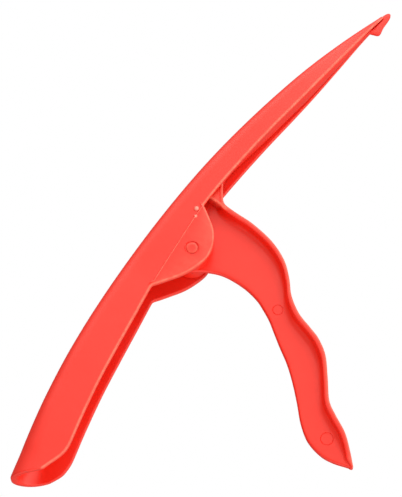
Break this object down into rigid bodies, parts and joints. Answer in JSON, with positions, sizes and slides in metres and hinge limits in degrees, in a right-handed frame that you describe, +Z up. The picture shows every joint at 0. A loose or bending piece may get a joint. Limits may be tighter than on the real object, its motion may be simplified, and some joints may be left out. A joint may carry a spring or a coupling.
{
  "type": "prawn peeling pliers",
  "caption": "Moulded plastic peeling pliers: a curved channel is palm handle and outer jaw, and a trigger lever swings a slim inner jaw out of it.",
  "frame": {"origin": "under the middle of the tool's outline, on the surface it lies on", "axes": "+X along the tool towards the jaw tip, +Y towards the curved back, +Z up along the pivot axis"},
  "size_m": [0.2356, 0.1134, 0.0226],
  "materials": {
    "body_plastic": "semi-gloss moulded red",
    "trigger_plastic": "semi-gloss moulded red",
    "pin_plastic": "semi-gloss moulded red"
  },
  "bodies": {
    "handle": {"channel_body": "body_plastic", "pivot_pin": "pin_plastic"},
    "trigger": {"trigger_jaw": "trigger_plastic"}
  },
  "joints": [
    {"name": "trigger_pivot", "type": "hinge", "parent": "handle", "child": "trigger", "pos_m": [-0.0106, 0.0388, 0.0113], "axis": [0, 0, -1], "range_deg": [0, 35]}
  ]
}
